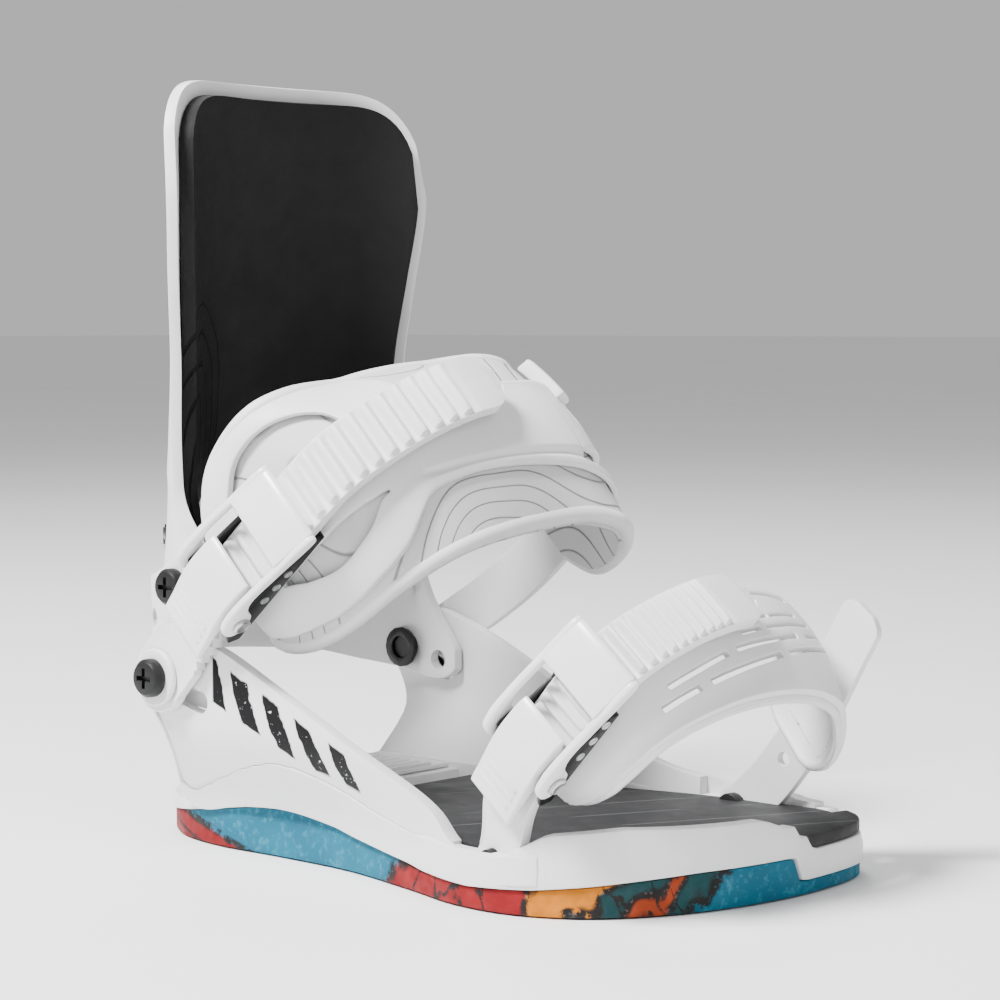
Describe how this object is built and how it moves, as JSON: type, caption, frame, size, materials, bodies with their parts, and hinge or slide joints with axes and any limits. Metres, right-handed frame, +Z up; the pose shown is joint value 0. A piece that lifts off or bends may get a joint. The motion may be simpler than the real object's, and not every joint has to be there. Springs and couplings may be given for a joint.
{
  "type": "snowboard binding",
  "caption": "Strap-in snowboard binding with a base tray, turning mounting disc, heel hoop, padded highback, and ratchet straps over the ankle and toe.",
  "frame": {"origin": "on the board plane, under the centre of the bounding box", "axes": "+Z up off the board, -Y towards the toe, +X towards the inner side of the foot"},
  "size_m": [0.1454, 0.2552, 0.2506],
  "materials": {
    "black_foam": "matt black foam",
    "black_plastic": "satin black nylon",
    "black_steel": "black coated steel",
    "foam_print": "matt printed foam",
    "lever_white": "white powder coat",
    "pad_grey": "dark grey woven padding",
    "steel": "bare steel",
    "strap_liner": "white padded synthetic leather",
    "strap_white": "satin white soft plastic",
    "white_shell": "gloss white moulded nylon"
  },
  "bodies": {
    "base": {"baseplate": "white_shell", "base_bushing": "foam_print", "footbed": "black_foam", "heel_pad": "white_shell", "heelcup": "white_shell", "ankle_bolt_outer": "black_steel", "ankle_washer_outer": "strap_white", "ankle_nut_outer": "black_steel", "toe_pin_outer": "black_steel", "ankle_bolt_inner": "black_steel", "ankle_washer_inner": "strap_white", "ankle_nut_inner": "black_steel", "toe_pin_inner": "black_steel"},
    "disc": {"mounting_disc": "black_plastic", "disc_screw_1": "steel", "disc_screw_2": "steel", "disc_screw_3": "steel", "disc_screw_4": "steel"},
    "highback": {"highback_shell": "white_shell", "highback_pad": "pad_grey", "back_bolt_outer": "black_steel", "back_nut_outer": "black_steel", "back_bolt_inner": "black_steel", "back_nut_inner": "black_steel"},
    "lean_slider": {"lean_block": "black_plastic", "lean_bolt": "steel", "lean_pin": "steel"},
    "lean_latch": {"lean_lever": "black_plastic"},
    "ankle_strap": {"ankle_pad": "strap_liner", "ankle_frame": "strap_white", "ankle_extender": "strap_white", "ankle_extender_screw": "black_steel", "ankle_buckle_base": "black_steel", "ankle_buckle_pin": "steel", "ankle_release_spring": "steel"},
    "ankle_ladder_strap": {"ankle_ladder": "strap_white"},
    "ankle_drive": {"ankle_drive_lever": "lever_white"},
    "ankle_release": {"ankle_release_lever": "lever_white"},
    "toe_cap": {"toe_strap": "strap_white", "toe_extender": "strap_white", "toe_extender_screw": "black_steel", "toe_buckle_base": "black_steel", "toe_buckle_pin": "steel", "toe_release_spring": "steel"},
    "toe_ladder_strap": {"toe_ladder": "strap_white"},
    "toe_drive": {"toe_drive_lever": "lever_white"},
    "toe_release": {"toe_release_lever": "lever_white"}
  },
  "joints": [
    {"name": "disc_turn", "type": "hinge", "parent": "base", "child": "disc", "pos_m": [0.0016, -0.0112, 0.008], "axis": [0, 0, 1], "continuous": true},
    {"name": "highback_fold", "type": "hinge", "parent": "base", "child": "highback", "pos_m": [0.0016, 0.0738, 0.085], "axis": [1, 0, 0], "range_deg": [0, 8]},
    {"name": "lean_slide", "type": "slide", "parent": "highback", "child": "lean_slider", "axis": [0, -0.05, 0.9987], "range_m": [0, 0.015]},
    {"name": "lean_lever_turn", "type": "hinge", "parent": "lean_slider", "child": "lean_latch", "pos_m": [0.0016, 0.1251, 0.0965], "axis": [1, 0, 0], "range_deg": [0, 100]},
    {"name": "ankle_strap_swing", "type": "hinge", "parent": "base", "child": "ankle_strap", "pos_m": [0.0016, 0.0718, 0.0565], "axis": [1, 0, 0], "range_deg": [0, 12]},
    {"name": "ankle_ladder_swing", "type": "hinge", "parent": "base", "child": "ankle_ladder_strap", "pos_m": [-0.0616, 0.0718, 0.0565], "axis": [1, 0, 0], "range_deg": [0, 12]},
    {"name": "ankle_lever_turn", "type": "hinge", "parent": "ankle_strap", "child": "ankle_drive", "pos_m": [-0.06595, 0.04072, 0.08758], "axis": [0, -0.7071, -0.7071], "range_deg": [0, 70]},
    {"name": "ankle_release_turn", "type": "hinge", "parent": "ankle_strap", "child": "ankle_release", "pos_m": [-0.06595, 0.04072, 0.08758], "axis": [0, 0.7071, 0.7071], "range_deg": [0, 10], "stiffness_Nm_per_rad": 0.2, "springref_deg": -5.73},
    {"name": "toe_strap_swing", "type": "hinge", "parent": "base", "child": "toe_cap", "pos_m": [0.0016, -0.0692, 0.015], "axis": [1, 0, 0], "range_deg": [-10, 8]},
    {"name": "toe_ladder_swing", "type": "hinge", "parent": "base", "child": "toe_ladder_strap", "pos_m": [-0.0572, -0.0692, 0.015], "axis": [1, 0, 0], "range_deg": [-10, 8]},
    {"name": "toe_lever_turn", "type": "hinge", "parent": "toe_cap", "child": "toe_drive", "pos_m": [-0.06425, -0.08746, 0.04921], "axis": [0, -0.766, -0.6428], "range_deg": [0, 70]},
    {"name": "toe_release_turn", "type": "hinge", "parent": "toe_cap", "child": "toe_release", "pos_m": [-0.06425, -0.08746, 0.04921], "axis": [0, 0.766, 0.6428], "range_deg": [0, 10], "stiffness_Nm_per_rad": 0.2, "springref_deg": -5.73}
  ],
  "couplings": [
    {"joint": "ankle_ladder_swing", "follows": "ankle_strap_swing", "ratio": 1},
    {"joint": "toe_ladder_swing", "follows": "toe_strap_swing", "ratio": 1}
  ]
}
